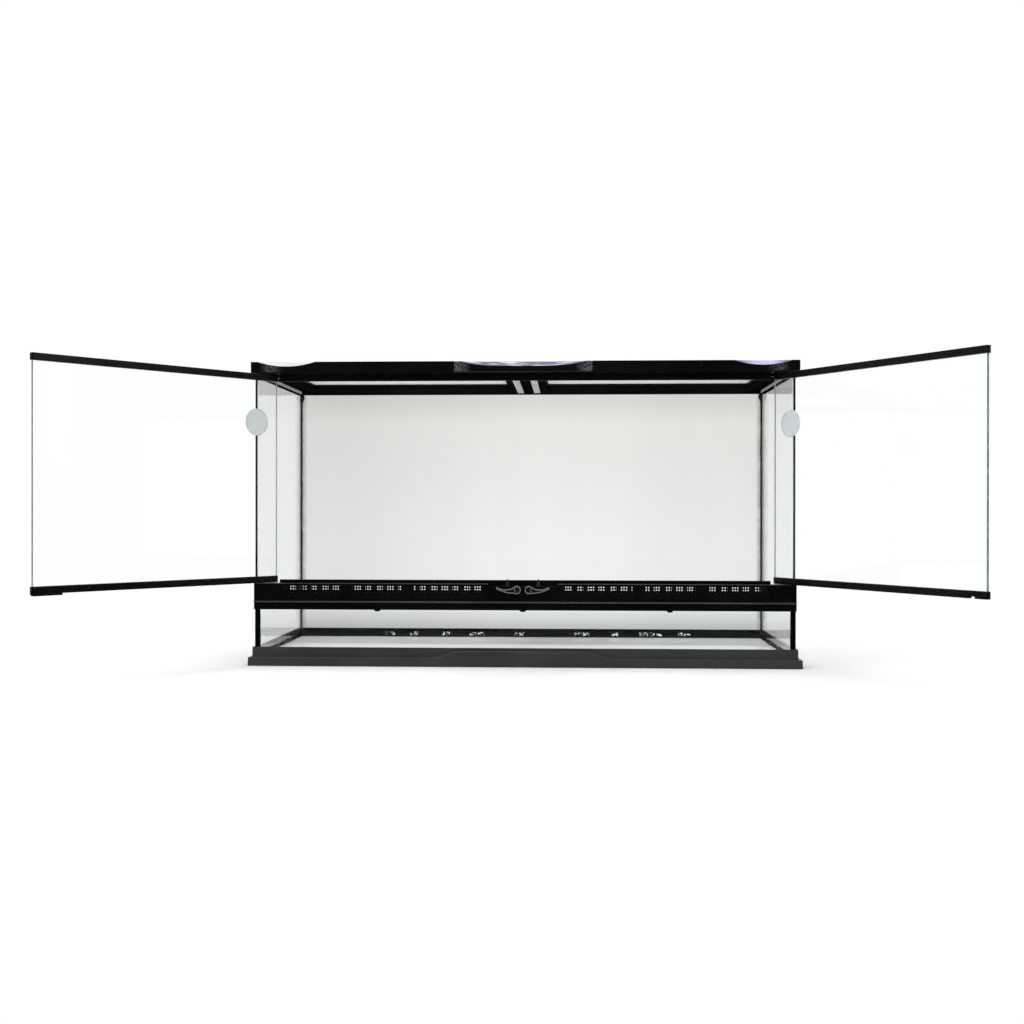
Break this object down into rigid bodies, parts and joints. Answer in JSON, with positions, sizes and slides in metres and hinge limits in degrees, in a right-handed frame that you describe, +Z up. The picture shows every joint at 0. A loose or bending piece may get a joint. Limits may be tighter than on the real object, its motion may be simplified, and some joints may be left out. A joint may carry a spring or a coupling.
{
  "type": "terrarium cabinet",
  "caption": "Front-opening glass terrarium cabinet with swing doors, sprung latch levers, a vent strip and lift-out screen lids in a plastic top frame.",
  "frame": {"origin": "middle of the underside of the base, on the surface that the cabinet stands on", "axes": "+X along the width to the right as seen from the front, -Y out of the front, +Z up"},
  "size_m": [1.3547, 0.7205, 0.508],
  "materials": {
    "charcoal_plastic": "satin moulded",
    "black_plastic": "semi-gloss moulded",
    "lever_plastic": "semi-gloss moulded",
    "screen_plastic": "satin moulded",
    "white_plastic": "natural, self-lubricating",
    "pale_strip": "fine speckle",
    "frosted_pad": "frosted, translucent",
    "clear_glass": "polished float glass",
    "black_silicone": "smooth cured bead",
    "pin_steel": "drawn wire",
    "mesh_steel": "woven wire"
  },
  "bodies": {
    "cabinet": {"base_frame": "charcoal_plastic", "floor_pane": "clear_glass", "back_pane": "clear_glass", "left_pane": "clear_glass", "right_pane": "clear_glass", "lower_front_pane": "clear_glass", "corner_seams": "black_silicone", "floor_seam": "black_silicone", "vent_strip": "black_plastic", "left_grille": "black_plastic", "right_grille": "black_plastic", "strip_clips": "black_plastic", "top_frame": "black_plastic", "crossbar": "black_plastic", "crossbar_strips": "pale_strip", "upper_hinge_bushes": "white_plastic", "lower_hinge_bushes": "white_plastic"},
    "left_door": {"left_door_pane": "clear_glass", "left_door_top_rail": "black_plastic", "left_door_bottom_rail": "black_plastic", "left_hinge_pins": "pin_steel", "left_door_catch": "black_plastic", "left_door_pad": "frosted_pad"},
    "right_door": {"right_door_pane": "clear_glass", "right_door_top_rail": "black_plastic", "right_door_bottom_rail": "black_plastic", "right_hinge_pins": "pin_steel", "right_door_pad": "frosted_pad"},
    "left_latch": {"left_latch_lever": "lever_plastic", "left_latch_hook": "lever_plastic", "left_latch_screw": "pin_steel"},
    "right_latch": {"right_latch_lever": "lever_plastic", "right_latch_hook": "lever_plastic", "right_latch_screw": "pin_steel"},
    "left_screen": {"left_screen_frame": "screen_plastic", "left_screen_mesh": "mesh_steel"},
    "right_screen": {"right_screen_frame": "screen_plastic", "right_screen_mesh": "mesh_steel"}
  },
  "joints": [
    {"name": "left_door_swing", "type": "hinge", "parent": "cabinet", "child": "left_door", "pos_m": [-0.426, -0.172, 0.313], "axis": [0, 0, -1], "range_deg": [-129.7, 20.3]},
    {"name": "right_door_swing", "type": "hinge", "parent": "cabinet", "child": "right_door", "pos_m": [0.426, -0.172, 0.313], "axis": [0, 0, 1], "range_deg": [-122, 28]},
    {"name": "left_latch_turn", "type": "hinge", "parent": "cabinet", "child": "left_latch", "pos_m": [-0.01, -0.1824, 0.128], "axis": [0, -1, 0], "range_deg": [0, 32], "stiffness_Nm_per_rad": 0.04, "springref_deg": -14.32},
    {"name": "right_latch_turn", "type": "hinge", "parent": "cabinet", "child": "right_latch", "pos_m": [0.01, -0.1824, 0.128], "axis": [0, 1, 0], "range_deg": [0, 32], "stiffness_Nm_per_rad": 0.04, "springref_deg": -14.32},
    {"name": "left_screen_lift", "type": "slide", "parent": "cabinet", "child": "left_screen", "axis": [0, 0, 1], "range_m": [0, 0.05]},
    {"name": "right_screen_lift", "type": "slide", "parent": "cabinet", "child": "right_screen", "axis": [0, 0, 1], "range_m": [0, 0.05]}
  ]
}
